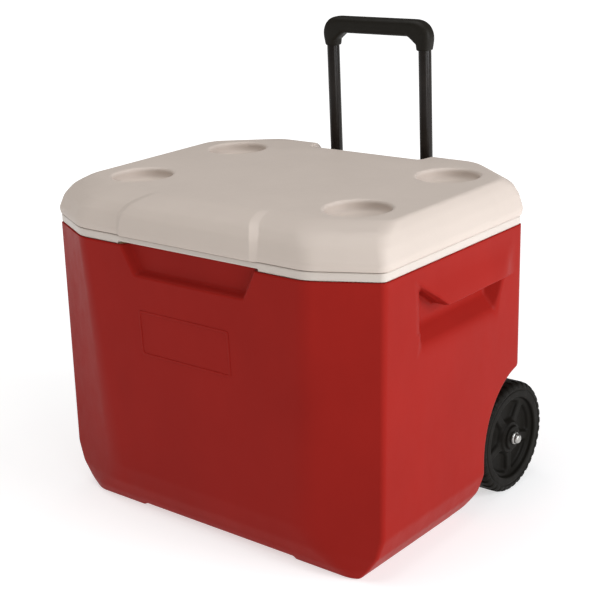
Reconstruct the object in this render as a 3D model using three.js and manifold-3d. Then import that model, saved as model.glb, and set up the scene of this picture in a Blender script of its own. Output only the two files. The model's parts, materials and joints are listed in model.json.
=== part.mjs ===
// Wheeled cooler: red insulated chest, white hinged lid with four cup rests, two plastic wheels on a
// steel axle and a telescoping pull handle on the back. Millimetres, +Z up, front of the chest at -Y,
// origin on the floor under the middle of the object.
import * as THREE from "three";
import { mergeVertices } from "three/addons/utils/BufferGeometryUtils.js";
import Module from "manifold-3d";

const wasm = await Module();
wasm.setup();

// ---------------------------------------------------------------- driving dimensions
const GAP = 0.3;            // air left between pieces that touch
const PAST = 2;             // how far a cutting tool runs past the face that it opens

// chest, at its top edge and on the floor
const BODY_TOP = 396;       // top of the red shell
const BODY_HALF = 282;      // half length at the top edge
const BODY_FRONT = -218.5;
const BODY_BACK = 200;
const FRONT_CUT = [88, 43]; // corner cut at the top edge, along the length and along the depth
const BACK_CUT = [88, 66];
const RIM_CUT = [88, 44];   // front cut of the white rim, a little deeper than the shell's
const BEVEL_TOP = 64;       // height where the sides begin to turn in towards the floor
const BEVEL_HALF = 278;     // half length there
const BEVEL_CUT = [106, 26]; // front corner cut there, longer and shallower than at the top edge
const FLOOR_HALF = 238.5;   // half length on the floor
const FLOOR_FRONT = -193;
const FLOOR_BACK = 178;
const RUNNER_INNER = 138;   // the two runners that stand on the floor start here
const RUNNER_END = 17.8;    // and stop here, where the wheel wells begin
const UNDERSIDE = 5;        // clearance under the middle of the chest
const CORNER_REACH = 11;    // how far each rounded corner of the chest's plan reaches along its sides
const SHELL_WALL = 4;

// inner tub
const TUB_HALF = 246;
const TUB_FRONT = -190;
const TUB_BACK = 165.6;
const TUB_FLOOR = 44;
const TUB_WALL = 3;
const RIM_TOP = 407.7;      // white flange of the tub, standing on the red shell
const RIM_THIN = 399.5;     // underside of the flange above the front finger recess

// lid
const LID_BASE = 408;
const LID_TOP = 458;
const LID_WALL = 4;
const LID_CORNER_REACH = 17;
const CUP_RADIUS = 42;
const CUP_DEPTH = 16;
const CUP_X = 188;
const CUP_Y = 100;
const NOTCH_FRONT = 164;    // notch in the back of the lid that the handle stands in
const NOTCH_HALF = [98, 112];

// lid hinge
const HINGE_Y = 177;
const HINGE_Z = 446;
const HINGE_X = 135;        // middle of each hinge
const SLOT_HALF = 16;       // half width of the slot in the lid
const EAR_HALF = 13.5;
const KNUCKLE = 8.4;
const HINGE_PIN = 3;

// wheels and axle
const WHEEL_RADIUS = 79.8;
const WHEEL_Y = 142.7;
const WHEEL_IN = 218.4;     // inner and outer ends of the wheel's hub
const WHEEL_OUT = 266;
const TREAD_IN = 225;
const AXLE_RADIUS = 4.75;
const WELL_X = 214;         // inner wall of the wheel well
const WELL_MIDDLE = 85;     // centre height of the arch's oval
const WELL_RADII = [95, 110];

// pull handle
const TUBE_X = 81.5;
const TUBE_Y = 205.3;
const TUBE_RADIUS = 9.25;
const TUBE_BORE = 7.6;
const SLEEVE_RADIUS = 12;
const SLEEVE_BORE = 10;
const SLEEVE_Z = [60, 392];
const GRIP_TOP = 646.3;
const GRIP_BAR = 24;        // height of the grip's bar
const GRIP_DEPTH = 23;
const GRIP_HALF = 94.5;
const GRIP_LEG_END = 598;
const CHANNEL_HALF = 102;   // channel in the back of the chest for the sleeves
const CHANNEL_Y = 188;
const CHANNEL_FLOOR = 50;

// planes well clear of the chest, where cuts that are open to the outside end
const BEHIND = 260;
const BESIDE = 300;

// ---------------------------------------------------------------- solids
function solid(geometry) {
  const bare = geometry.clone();
  bare.deleteAttribute("normal");
  bare.deleteAttribute("uv");
  const merged = mergeVertices(bare, 1e-4);
  return new wasm.Manifold(new wasm.Mesh({
    numProp: 3,
    vertProperties: new Float32Array(merged.attributes.position.array),
    triVerts: new Uint32Array(merged.index.array),
  }));
}

function toGeometry(body) {
  const mesh = body.getMesh();
  const geometry = new THREE.BufferGeometry();
  geometry.setAttribute("position", new THREE.BufferAttribute(new Float32Array(mesh.vertProperties), 3));
  geometry.setIndex(new THREE.BufferAttribute(new Uint32Array(mesh.triVerts), 1));
  geometry.computeVertexNormals();
  return geometry;
}

// Closed skin over rings of points that all have the same count; the end rings are convex.
function skin(rings) {
  const count = rings[0].length;
  const faces = [];
  for (let ring = 0; ring + 1 < rings.length; ring += 1) {
    for (let i = 0; i < count; i += 1) {
      const a = ring * count + i;
      const b = ring * count + ((i + 1) % count);
      faces.push(a, b, b + count, a, b + count, a + count);
    }
  }
  const last = (rings.length - 1) * count;
  for (let i = 1; i + 1 < count; i += 1) {
    faces.push(0, i + 1, i, last, last + i, last + i + 1);
  }
  const points = rings.flat();
  let volume = 0;
  for (let i = 0; i < faces.length; i += 3) {
    const [a, b, c] = [points[faces[i]], points[faces[i + 1]], points[faces[i + 2]]];
    volume += a.dot(b.clone().cross(c));
  }
  if (volume < 0) {
    faces.reverse();
  }
  const geometry = new THREE.BufferGeometry();
  geometry.setAttribute("position", new THREE.Float32BufferAttribute(points.flatMap((p) => p.toArray()), 3));
  geometry.setIndex(faces);
  return solid(geometry);
}

// Outline of the chest at one height: a rectangle with cut corners, each vertex rounded.
function outline({ z, half, front, back, frontCut, backCut, round }) {
  const corners = [
    [-half, front + frontCut[1]], [-half + frontCut[0], front],
    [half - frontCut[0], front], [half, front + frontCut[1]],
    [half, back - backCut[1]], [half - backCut[0], back],
    [-half + backCut[0], back], [-half, back - backCut[1]],
  ].map(([x, y]) => new THREE.Vector3(x, y, z));
  const steps = 3;
  return corners.flatMap((corner, i) => {
    const before = corners[(i + 7) % 8];
    const after = corners[(i + 1) % 8];
    const reach = Math.min(round, corner.distanceTo(before) * 0.45, corner.distanceTo(after) * 0.45);
    const start = corner.clone().lerp(before, reach / corner.distanceTo(before));
    const end = corner.clone().lerp(after, reach / corner.distanceTo(after));
    const arc = new THREE.QuadraticBezierCurve3(start, corner, end);
    return arc.getPoints(steps);
  });
}

const loft = (levels) => skin(levels.map(outline));

function box(low, high) {
  const geometry = new THREE.BoxGeometry(high[0] - low[0], high[1] - low[1], high[2] - low[2]);
  geometry.translate((low[0] + high[0]) / 2, (low[1] + high[1]) / 2, (low[2] + high[2]) / 2);
  return solid(geometry);
}

// Everything of the object between two heights.
const slab = (from, to) => box([-BESIDE, -BEHIND, from], [BESIDE, BEHIND, to]);

// Round bar along X, Y or Z through a point of the other two axes, from one end to the other.
function rod(axis, centre, radius, from, to, sides = 20) {
  const geometry = new THREE.CylinderGeometry(radius, radius, to - from, sides);
  geometry.rotateX(Math.PI / 2);
  if (axis === "x") {
    geometry.rotateY(Math.PI / 2);
    geometry.translate((from + to) / 2, centre[0], centre[1]);
  } else if (axis === "y") {
    geometry.rotateX(Math.PI / 2);
    geometry.translate(centre[0], (from + to) / 2, centre[1]);
  } else {
    geometry.translate(centre[0], centre[1], (from + to) / 2);
  }
  return solid(geometry);
}

// Outline of (y, z) points pulled along X.
function prismX(points, from, to) {
  const shape = new THREE.Shape(points.map(([y, z]) => new THREE.Vector2(y, z)));
  const geometry = new THREE.ExtrudeGeometry(shape, { depth: to - from, bevelEnabled: false });
  const turn = new THREE.Matrix4().makeBasis(
    new THREE.Vector3(0, 1, 0), new THREE.Vector3(0, 0, 1), new THREE.Vector3(1, 0, 0));
  geometry.applyMatrix4(turn);
  geometry.translate(from, 0, 0);
  return solid(geometry);
}

// Outline of (x, z) points pulled along Y.
function prismY(points, from, to) {
  const shape = new THREE.Shape(points.map(([x, z]) => new THREE.Vector2(x, z)));
  const geometry = new THREE.ExtrudeGeometry(shape, { depth: to - from, bevelEnabled: false });
  geometry.rotateX(Math.PI / 2);
  geometry.translate(0, to, 0);
  return solid(geometry);
}

// Turned piece: (radius, height) points about +Z.
function turned(points, sides) {
  const geometry = new THREE.LatheGeometry(points.map(([r, h]) => new THREE.Vector2(r, h)), sides);
  geometry.rotateX(Math.PI / 2);
  return solid(geometry);
}

function mirrored(body) {
  return body.mirror([1, 0, 0]);
}

const bothSides = (body) => body.add(mirrored(body));

// ---------------------------------------------------------------- chest
// Level list of the red shell, drawn in by an inset on every side.
function bodyLevels(inset, bottom, top) {
  const levels = [
    { z: 0, half: FLOOR_HALF, front: FLOOR_FRONT, back: FLOOR_BACK, frontCut: [10, 5], share: 0.16 },
    { z: 14, half: 252, front: -201, back: 186, frontCut: [34, 12], share: 0.34 },
    { z: 36, half: 268, front: -209, back: 192, frontCut: [76, 20], share: 0.72 },
    { z: BEVEL_TOP, half: BEVEL_HALF, front: -213.5, back: 196, frontCut: BEVEL_CUT, share: 1 },
    { z: BODY_TOP, half: BODY_HALF, front: BODY_FRONT, back: BODY_BACK, frontCut: FRONT_CUT, share: 1 },
  ];
  const shaped = levels.map(({ z, half, front, back, frontCut, share }) => ({
    z, half: half - inset, front: front + inset, back: back - inset, round: CORNER_REACH,
    frontCut, backCut: BACK_CUT.map((leg) => leg * share),
  }));
  if (inset === 0) {
    return shaped;
  }
  return [{ ...shaped[1], z: bottom }, shaped[2], shaped[3], { ...shaped[4], z: top }];
}

// Wheel well: flared at its front foot, oval over the wheel, open to the back and side.
function wheelWell(grow) {
  const points = [[RUNNER_END - grow, -PAST], [31 - grow, 5], [42 - grow, 20], [46.5 - grow, 42]];
  const steps = 7;
  for (let i = 0; i <= steps; i += 1) {
    const angle = Math.PI - (i / steps) * (Math.PI / 2);
    points.push([
      WHEEL_Y + (WELL_RADII[0] + grow) * Math.cos(angle),
      WELL_MIDDLE + (WELL_RADII[1] + grow) * Math.sin(angle),
    ]);
  }
  points.push([BEHIND, WELL_MIDDLE + WELL_RADII[1] + grow], [BEHIND, -PAST]);
  return bothSides(prismX(points, WELL_X - grow, 330));
}

const handleChannel = (grow) => box(
  [-CHANNEL_HALF - grow, CHANNEL_Y - grow, CHANNEL_FLOOR - grow],
  [CHANNEL_HALF + grow, BEHIND, BODY_TOP + 20]);

// Finger recess under the middle of the lid: a trapezoid with leaning ends and floor.
function fingerRecess(grow) {
  const ring = (y, top, low, floor) => [
    [-low - grow, floor - grow], [low + grow, floor - grow], [top + grow, 410], [-top - grow, 410],
  ].map(([x, z]) => new THREE.Vector3(x, y, z));
  return skin([ring(-232, 131, 101, 351), ring(-206.5 + grow, 119, 91, 361)]);
}

// Grip on each end of the chest: a hood that stands proud, and a pocket for the fingers below it.
// The hood's lip is level; ahead of GRIP_TURN its underside climbs towards the front.
const GRIP_LIP = 334;
const GRIP_TURN = -50;
const GRIP_CLIMB = 0.68;
const gripRoof = (y) => GRIP_LIP + Math.max(GRIP_TURN - y, 0) * GRIP_CLIMB;
const gripHood = () => bothSides(skin([[279, -125, 121, 390.5], [288, -50, 82, 341]].map(
  ([x, front, back, top]) => [[front, GRIP_LIP], [back, GRIP_LIP], [back, top], [front, top]]
    .map(([y, z]) => new THREE.Vector3(x, y, z)))));
const gripPocket = (grow) => bothSides(skin([[296, -117, 98, 272], [260 - grow, -84, 76, 316]].map(
  ([x, front, back, floor]) => [
    [front - grow, floor - grow], [back + grow, floor - grow], [back + grow, GRIP_LIP + grow],
    [GRIP_TURN, GRIP_LIP + grow], [front - grow, gripRoof(front) + grow],
  ].map(([y, z]) => new THREE.Vector3(x, y, z)))));

// Underside: lifted between the runners, and swept up behind the axle so that the chest can tip back.
const underside = () => box([-RUNNER_INNER, -BEHIND, -PAST], [RUNNER_INNER, BEHIND, UNDERSIDE])
  .add(box([-BESIDE, RUNNER_END, -PAST], [BESIDE, BEHIND, UNDERSIDE]))
  .add(prismX([[150, UNDERSIDE], [150, -PAST], [BEHIND, -PAST], [BEHIND, 62]], -BESIDE, BESIDE));

// The hollow of the shell: its outer form drawn in by the wall, less what is moulded inwards.
function shellHollow(inset) {
  return loft(bodyLevels(inset, 12 + inset, BODY_TOP + PAST))
    .subtract(wheelWell(inset)).subtract(handleChannel(inset))
    .subtract(fingerRecess(inset)).subtract(gripPocket(inset))
    .subtract(prismX([[130, 5], [BEHIND, 5], [BEHIND, 68 + inset], [130, 8 + inset]], -BESIDE, BESIDE));
}

const AXLE_AT = [WHEEL_Y, WHEEL_RADIUS];
const BRACKET_SCREWS = [[-42, 361], [42, 361], [-42, 70], [42, 70]];
const screwHoles = (radius) => BRACKET_SCREWS
  .map(([x, z]) => rod("y", [x, z], radius, 170, CHANNEL_Y + PAST, 12))
  .reduce((all, hole) => all.add(hole));

function bodyShell() {
  return loft(bodyLevels(0))
    .add(gripHood())
    .subtract(wheelWell(0)).subtract(handleChannel(0)).subtract(fingerRecess(0))
    .subtract(gripPocket(0)).subtract(underside())
    .subtract(shellHollow(SHELL_WALL))
    .subtract(rod("x", AXLE_AT, 7.8, -WELL_X - PAST, WELL_X + PAST, 20))
    .subtract(screwHoles(2.5));
}

// Tub: straight walls with a block over each wheel well and a low bench over the axle.
function tubForm(grow) {
  const level = (z, half, front, back) => ({
    z, half: half + grow, front: front - grow, back: back + grow,
    frontCut: [44, 40], backCut: [44, 40], round: 34,
  });
  return loft([
    level(TUB_FLOOR - grow, TUB_HALF - 12, TUB_FRONT + 9, TUB_BACK - 8),
    level(RIM_TOP + PAST, TUB_HALF, TUB_FRONT, TUB_BACK),
  ])
    .subtract(bothSides(box([204 + grow, 37 + grow, 0], [BESIDE, BEHIND, 204 - grow])))
    .subtract(box([-BESIDE, 122 + grow, 0], [BESIDE, BEHIND, 98 - grow]));
}

function rimForm() {
  const level = (z, inset) => ({
    z, half: BODY_HALF - inset, front: BODY_FRONT + inset, back: BODY_BACK - inset,
    frontCut: RIM_CUT, backCut: BACK_CUT, round: CORNER_REACH,
  });
  return loft([level(BODY_TOP + GAP, 0.5), level(RIM_TOP, 1.2)])
    .subtract(box([-CHANNEL_HALF, CHANNEL_Y, 380], [CHANNEL_HALF, BEHIND, 420]))
    .subtract(box([-124, -240, 380], [124, BODY_FRONT + 13, RIM_THIN]));
}

const EAR_SCREWS = [HINGE_X - 8, HINGE_X + 8].map((x) => [x, 191.5]);
const earScrewHoles = (radius, from, to) => bothSides(EAR_SCREWS
  .map((at) => rod("z", at, radius, from, to, 12)).reduce((all, hole) => all.add(hole)));

function innerLiner() {
  return tubForm(TUB_WALL).intersect(slab(0, BODY_TOP + GAP + 1))
    .add(rimForm())
    .subtract(tubForm(0))
    .subtract(earScrewHoles(2.3, 398.5, RIM_TOP + PAST));
}

function insulation() {
  return shellHollow(SHELL_WALL + 0.4)
    .intersect(slab(0, BODY_TOP - 0.2))
    .subtract(tubForm(TUB_WALL + 0.4))
    .subtract(rod("x", AXLE_AT, 9, -BESIDE, BESIDE, 20));
}

// ---------------------------------------------------------------- lid
const LID_LEVELS = [
  { z: LID_BASE, side: 283.5, front: -219.5, back: 201 },
  { z: 417, side: 285.5, front: -220.5, back: 202 },
  { z: 436, side: 281, front: -214, back: 202 },
  { z: 450, side: 272, front: -201, back: 199 },
  { z: LID_TOP, side: 260, front: -174, back: 188 },
];

function lidForm(inset, bottom, top) {
  const shaped = LID_LEVELS.map(({ z, side, front, back }) => ({
    z, half: side - inset, front: front + inset, back: back - inset,
    frontCut: FRONT_CUT, backCut: BACK_CUT, round: LID_CORNER_REACH,
  }));
  shaped[0].z = bottom;
  shaped[4].z = top;
  return loft(shaped);
}

// Raised panel in the middle of the lid's front, narrower at the top.
function frontPanel() {
  const ring = (z, half, front) => [[-half, -120], [-half, front + 3], [-half + 6, front],
    [half - 6, front], [half, front + 3], [half, -120]].map(([x, y]) => new THREE.Vector3(x, y, z));
  return skin([ring(LID_BASE, 120, -222.5), ring(428, 112, -221.5), ring(444, 102, -213),
    ring(LID_TOP, 88, -186)]);
}

// The notch widens towards the back.
const notch = (grow) => skin([LID_BASE - 20, LID_TOP + 20].map((z) => [
  [-NOTCH_HALF[0] - grow, NOTCH_FRONT - grow], [NOTCH_HALF[0] + grow, NOTCH_FRONT - grow],
  [NOTCH_HALF[1] + grow, 240], [-NOTCH_HALF[1] - grow, 240],
].map(([x, y]) => new THREE.Vector3(x, y, z))));

// Behind the hinge axis the lid's underside follows a circle about it, so it clears the rim.
const backRelief = () => box([-BESIDE, HINGE_Y, 380], [BESIDE, BEHIND, HINGE_Z])
  .subtract(rod("x", [HINGE_Y, HINGE_Z], HINGE_Z - LID_BASE, -BESIDE - PAST, BESIDE + PAST, 64));

const hingeSlots = () => bothSides(box(
  [HINGE_X - SLOT_HALF, HINGE_Y - 9.6, 380], [HINGE_X + SLOT_HALF, BEHIND, HINGE_Z + KNUCKLE + 0.5]));

const cupCentres = [-1, 1].flatMap((sx) => [-1, 1].map((sy) => [sx * CUP_X, sy * CUP_Y]));
const cups = (radius, from, to) => cupCentres
  .map((centre) => rod("z", centre, radius, from, to, 28)).reduce((all, cup) => all.add(cup));

const LID_CORE_BACK = 150;  // the lid is hollow ahead of this line and solid behind it
const lidHollow = (inset, bottom) => lidForm(LID_WALL + inset, bottom, LID_TOP - LID_WALL - inset)
  .intersect(box([-BESIDE, -BEHIND, 0], [BESIDE, LID_CORE_BACK - inset, LID_TOP]))
  .subtract(cups(CUP_RADIUS + 3 + inset, LID_TOP - CUP_DEPTH - 3 - inset, LID_TOP));

function lidCover() {
  return lidForm(0, LID_BASE, LID_TOP).add(frontPanel())
    .subtract(notch(0)).subtract(backRelief()).subtract(hingeSlots())
    .subtract(cups(CUP_RADIUS, LID_TOP - CUP_DEPTH, LID_TOP + PAST))
    .subtract(lidHollow(0, LID_BASE - PAST))
    .subtract(bothSides(rod("x", [HINGE_Y, HINGE_Z], HINGE_PIN + GAP, 90, 162, 20)));
}

const LINER_PANEL = 5;      // thickness of the panel that closes the lid's underside
const lidFoam = () => lidHollow(0.4, LID_BASE + LINER_PANEL + 0.4);

// Inner panel of the lid, with a shallow plug that drops into the mouth of the tub.
function lidLiner() {
  const plug = (z, half, front, back) => ({
    z, half, front, back, frontCut: [44, 40], backCut: [44, 40], round: 34,
  });
  return lidHollow(GAP, LID_BASE).intersect(slab(0, LID_BASE + LINER_PANEL))
    .add(loft([plug(LID_BASE - 9, TUB_HALF - 14, TUB_FRONT + 14, 143),
      plug(LID_BASE + 2, TUB_HALF - 8, TUB_FRONT + 8, 148)]));
}

// Hinge ear: a foot on the rim and an upright that ends in a round knuckle on the axis.
function hingeEar() {
  const [x0, x1] = [HINGE_X - EAR_HALF, HINGE_X + EAR_HALF];
  const foot = box([x0, HINGE_Y - 7.5, RIM_TOP + GAP], [x1, 198.5, RIM_TOP + 3.5]);
  const upright = box([x0, HINGE_Y - 7.5, RIM_TOP + GAP], [x1, HINGE_Y + 7.5, HINGE_Z]);
  return foot.add(upright).add(rod("x", [HINGE_Y, HINGE_Z], KNUCKLE, x0, x1, 24))
    .subtract(rod("x", [HINGE_Y, HINGE_Z], HINGE_PIN + GAP, x0 - PAST, x1 + PAST, 20))
    .subtract(earScrewHoles(2.3, 400, 420));
}

const hingePin = () => rod("x", [HINGE_Y, HINGE_Z], HINGE_PIN, 103, 160, 16);

// ---------------------------------------------------------------- screws
// Pan-head screw along +Z, head on top; the seat is at height 0.
const screwForm = (length, head) => turned([
  [0, -length], [2, -length], [2, 0], [head, 0], [head * 0.85, 1.6], [head * 0.4, 2.3], [0, 2.4],
], 12);

// ---------------------------------------------------------------- wheels and axle
// Half section of the wheel, (radius, distance along the axle).
function wheelForm() {
  const [inner, outer] = [WHEEL_IN, WHEEL_OUT];
  const bore = AXLE_RADIUS + 0.35;
  const profile = [
    [bore, inner], [16, inner], [18, TREAD_IN + 9], [60, TREAD_IN + 9], [64, TREAD_IN],
    [74, TREAD_IN], [78.6, TREAD_IN + 4], [WHEEL_RADIUS, TREAD_IN + 12], [WHEEL_RADIUS, outer - 12],
    [78.6, outer - 5], [73, outer - 1], [55, outer - 3.5], [50, outer - 7], [20, outer - 5], [17, outer],
    [bore, outer], [bore, inner],
  ];
  let wheel = turned(profile, 48);
  const pockets = 5;
  for (let i = 0; i < pockets; i += 1) {
    const pocket = rod("z", [35, 0], 11.5, outer - 13, outer + PAST, 12);
    wheel = wheel.subtract(pocket.rotate([0, 0, (i * 360) / pockets]));
  }
  return wheel.rotate([0, 90, 0]).translate([0, AXLE_AT[0], AXLE_AT[1]]);
}

const ringAtAxle = (bore, radius, from, to, sides = 20) => rod("x", AXLE_AT, radius, from, to, sides)
  .subtract(rod("x", AXLE_AT, bore, from - PAST, to + PAST, 20));
const axle = () => rod("x", AXLE_AT, AXLE_RADIUS, -274, 274, 20);
const axleBush = () => ringAtAxle(AXLE_RADIUS + 0.35, 7.4, WELL_X - 4, WELL_X + 1)
  .add(ringAtAxle(AXLE_RADIUS + 0.35, 11, WELL_X + GAP, 216.3));
const innerWasher = () => ringAtAxle(AXLE_RADIUS + 0.35, 10, 216.6, 218.1);
const outerWasher = () => ringAtAxle(AXLE_RADIUS + 0.35, 8.5, 266.3, 267.7);
const pushNut = () => turned([
  [0, 6.6], [5.1, 6.6], [5.1, 0], [8.6, 0], [8.6, 1.4], [7.2, 2], [6.6, 5.8], [5, 7.2], [0, 7.6],
], 20).rotate([0, 90, 0]).translate([268, AXLE_AT[0], AXLE_AT[1]]);

// ---------------------------------------------------------------- pull handle
const TUBE_AT = [TUBE_X, TUBE_Y];
const tubeRing = (bore, radius, from, to, sides = 20) => rod("z", TUBE_AT, radius, from, to, sides)
  .subtract(rod("z", TUBE_AT, bore, from - PAST, to + PAST, sides));

const sleeve = () => tubeRing(SLEEVE_BORE, SLEEVE_RADIUS, SLEEVE_Z[0], SLEEVE_Z[1]);
const collar = () => tubeRing(TUBE_RADIUS + 0.35, 15, SLEEVE_Z[1] + GAP, 402)
  .add(tubeRing(SLEEVE_RADIUS + GAP, 15, 378, SLEEVE_Z[1] + GAP + 0.01));
const tube = () => tubeRing(TUBE_BORE, TUBE_RADIUS, 340, 630);
const glide = () => rod("z", TUBE_AT, SLEEVE_BORE - 0.35, 331, 339.6, 20)
  .add(rod("z", TUBE_AT, TUBE_BORE - 0.4, 339, 356, 20));

// Bracket across the channel: a plate with a ring round each sleeve and two screws into the shell.
function bracket(low, high, floor) {
  const rings = rod("z", TUBE_AT, 16.5, low, high, 24)
    .add(box([TUBE_X - 14, CHANNEL_Y + GAP, low], [TUBE_X + 14, TUBE_Y, high]));
  const screws = BRACKET_SCREWS.filter(([, z]) => z > low && z < high)
    .map(([x, z]) => rod("y", [x, z], 2.5, 170, 230, 12)).reduce((all, hole) => all.add(hole));
  return box([-TUBE_X, CHANNEL_Y + GAP, low], [TUBE_X, CHANNEL_Y + 5.5, high]).add(bothSides(rings))
    .subtract(bothSides(rod("z", TUBE_AT, SLEEVE_RADIUS + GAP, floor, high + PAST, 20)))
    .subtract(screws);
}

// Grip: a bar with chamfered inner corners and a socket leg down each tube.
function handleGrip() {
  const inner = TUBE_X - 12.5;
  const barUnder = GRIP_TOP - GRIP_BAR;
  const right = [
    [GRIP_HALF - 3, GRIP_LEG_END], [GRIP_HALF, 618], [GRIP_HALF, GRIP_TOP - 9],
    [GRIP_HALF - 3, GRIP_TOP - 3], [GRIP_HALF - 10, GRIP_TOP],
  ];
  const left = right.map(([x, z]) => [-x, z]).reverse();
  const under = [
    [-inner - 2, GRIP_LEG_END], [-inner, barUnder - 10], [-inner + 12, barUnder],
    [inner - 12, barUnder], [inner, barUnder - 10], [inner + 2, GRIP_LEG_END],
  ];
  return prismY([...right, ...left, ...under], TUBE_Y - GRIP_DEPTH / 2, TUBE_Y + GRIP_DEPTH / 2)
    .subtract(bothSides(rod("z", TUBE_AT, TUBE_RADIUS + GAP, GRIP_LEG_END - PAST, 630.4, 20)
      .add(rivetHole())));
}

// Rivet through each socket leg and its tube, from front to back.
const RIVET = [TUBE_X, 612];
const rivetHole = () => rod("y", RIVET, 2.3, TUBE_Y - 25, TUBE_Y + 25, 12);
const gripRivet = () => rod("y", RIVET, 2, TUBE_Y - GRIP_DEPTH / 2, TUBE_Y + GRIP_DEPTH / 2, 12);
const tubeWithRivetHole = () => tube().subtract(rivetHole());

// ---------------------------------------------------------------- scene graph
const paint = (color, roughness, metalness = 0) => new THREE.MeshStandardMaterial(
  { color, roughness, metalness });
const RED = () => paint(0xb22a26, 0.45);
const WHITE = () => paint(0xe9e2da, 0.5);
const FOAM = () => paint(0xe7dcae, 0.9);
const BLACK = () => paint(0x1c1a18, 0.5);
const TUBE_BLACK = () => paint(0x241c19, 0.3, 0.6);
const STEEL = () => paint(0xb9bcc0, 0.3, 1);

const group = new THREE.Group();
const frameOf = { chest: new THREE.Group(), lid: new THREE.Group(), handle: new THREE.Group() };
Object.values(frameOf).forEach((child) => group.add(child));

function place(parent, name, body, material) {
  const mesh = new THREE.Mesh(toGeometry(body), material);
  mesh.name = name;
  parent.add(mesh);
}

// A right-hand piece and its mirror image on the left.
function placePair(parent, name, body, material) {
  place(parent, `${name}_right`, body, material);
  place(parent, `${name}_left`, mirrored(body), material);
}

place(frameOf.chest, "body_shell", bodyShell(), RED());
place(frameOf.chest, "insulation_foam", insulation(), FOAM());
place(frameOf.chest, "inner_liner", innerLiner(), WHITE());
placePair(frameOf.chest, "hinge_ear", hingeEar(), WHITE());
EAR_SCREWS.forEach(([x, y], i) => {
  const screw = screwForm(9, 3.2).translate([x, y, RIM_TOP + 3.8]);
  placePair(frameOf.chest, `hinge_screw_${i + 1}`, screw, STEEL());
});
placePair(frameOf.chest, "handle_sleeve", sleeve(), TUBE_BLACK());
placePair(frameOf.chest, "sleeve_collar", collar(), BLACK());
place(frameOf.chest, "upper_bracket", bracket(350, 372, 340), BLACK());
place(frameOf.chest, "lower_bracket", bracket(56, 82, SLEEVE_Z[0] - GAP), BLACK());
BRACKET_SCREWS.forEach(([x, z], i) => {
  const screw = screwForm(8.5, 4).rotate([-90, 0, 0]).translate([x, CHANNEL_Y + 5.8, z]);
  place(frameOf.chest, `bracket_screw_${i + 1}`, screw, STEEL());
});
place(frameOf.chest, "axle", axle(), STEEL());
placePair(frameOf.chest, "axle_bush", axleBush(), BLACK());
placePair(frameOf.chest, "inner_washer", innerWasher(), STEEL());
placePair(frameOf.chest, "outer_washer", outerWasher(), STEEL());
placePair(frameOf.chest, "push_nut", pushNut(), STEEL());

place(frameOf.lid, "lid_cover", lidCover(), WHITE());
place(frameOf.lid, "lid_foam", lidFoam(), FOAM());
place(frameOf.lid, "lid_liner", lidLiner(), WHITE());
placePair(frameOf.lid, "hinge_pin", hingePin(), STEEL());

place(frameOf.handle, "handle_grip", handleGrip(), BLACK());
placePair(frameOf.handle, "handle_tube", tubeWithRivetHole(), TUBE_BLACK());
placePair(frameOf.handle, "tube_glide", glide(), BLACK());
placePair(frameOf.handle, "grip_rivet", gripRivet(), STEEL());

placePair(group, "wheel", wheelForm(), BLACK());

export default group;
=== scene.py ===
import json
import math

import bmesh
import bpy
import numpy as np
from mathutils import Matrix, Vector

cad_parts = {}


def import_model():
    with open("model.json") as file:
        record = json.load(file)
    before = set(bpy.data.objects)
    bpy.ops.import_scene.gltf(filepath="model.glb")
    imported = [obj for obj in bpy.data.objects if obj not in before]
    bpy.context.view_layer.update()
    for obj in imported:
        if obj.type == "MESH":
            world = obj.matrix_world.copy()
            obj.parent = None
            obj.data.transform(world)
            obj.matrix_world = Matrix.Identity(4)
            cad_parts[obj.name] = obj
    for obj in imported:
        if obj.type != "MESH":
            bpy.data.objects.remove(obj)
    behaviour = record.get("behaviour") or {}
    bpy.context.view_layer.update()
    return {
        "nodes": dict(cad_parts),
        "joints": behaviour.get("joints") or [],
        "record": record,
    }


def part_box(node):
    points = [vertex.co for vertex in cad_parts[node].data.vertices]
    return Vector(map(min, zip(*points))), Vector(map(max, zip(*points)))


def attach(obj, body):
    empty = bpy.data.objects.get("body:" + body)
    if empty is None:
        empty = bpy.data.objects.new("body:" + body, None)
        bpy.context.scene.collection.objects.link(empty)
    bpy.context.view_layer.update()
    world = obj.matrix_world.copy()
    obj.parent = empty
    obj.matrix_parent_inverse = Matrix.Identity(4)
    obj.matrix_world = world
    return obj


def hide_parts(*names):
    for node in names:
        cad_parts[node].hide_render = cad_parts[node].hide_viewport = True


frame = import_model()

MM = 0.001


def span(node):
    """Lowest and highest corner of a CAD node in millimetres."""
    return [np.array(corner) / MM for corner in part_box(node)]


def joint_point(name):
    """A joint's place in millimetres."""
    return next(np.array(j["pos_m"]) / MM for j in frame["joints"] if j["name"] == name)


# ---------------------------------------------------------------- driving dimensions
SHELL_LOW, SHELL_HIGH = span("body_shell")
LID_LOW, LID_HIGH = span("lid_cover")
RIM_LOW, RIM_HIGH = span("inner_liner")
TUBE_LOW, TUBE_HIGH = span("handle_tube_right")
GRIP_LOW, GRIP_HIGH = span("handle_grip")
WHEEL_LOW, WHEEL_HIGH = span("wheel_right")
EAR_LOW, EAR_HIGH = span("hinge_ear_right")
AXLE = joint_point("wheel_right_spin")
HINGE = joint_point("lid_hinge")

BODY_TOP = SHELL_HIGH[2]
BODY_HALF, BODY_FRONT, BODY_BACK = 282.0, -218.5, 200.0
FRONT_CUT = (88.0, 43.0)     # corner cut at the top edge, along the length and along the depth
BACK_CUT = (88.0, 66.0)
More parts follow.
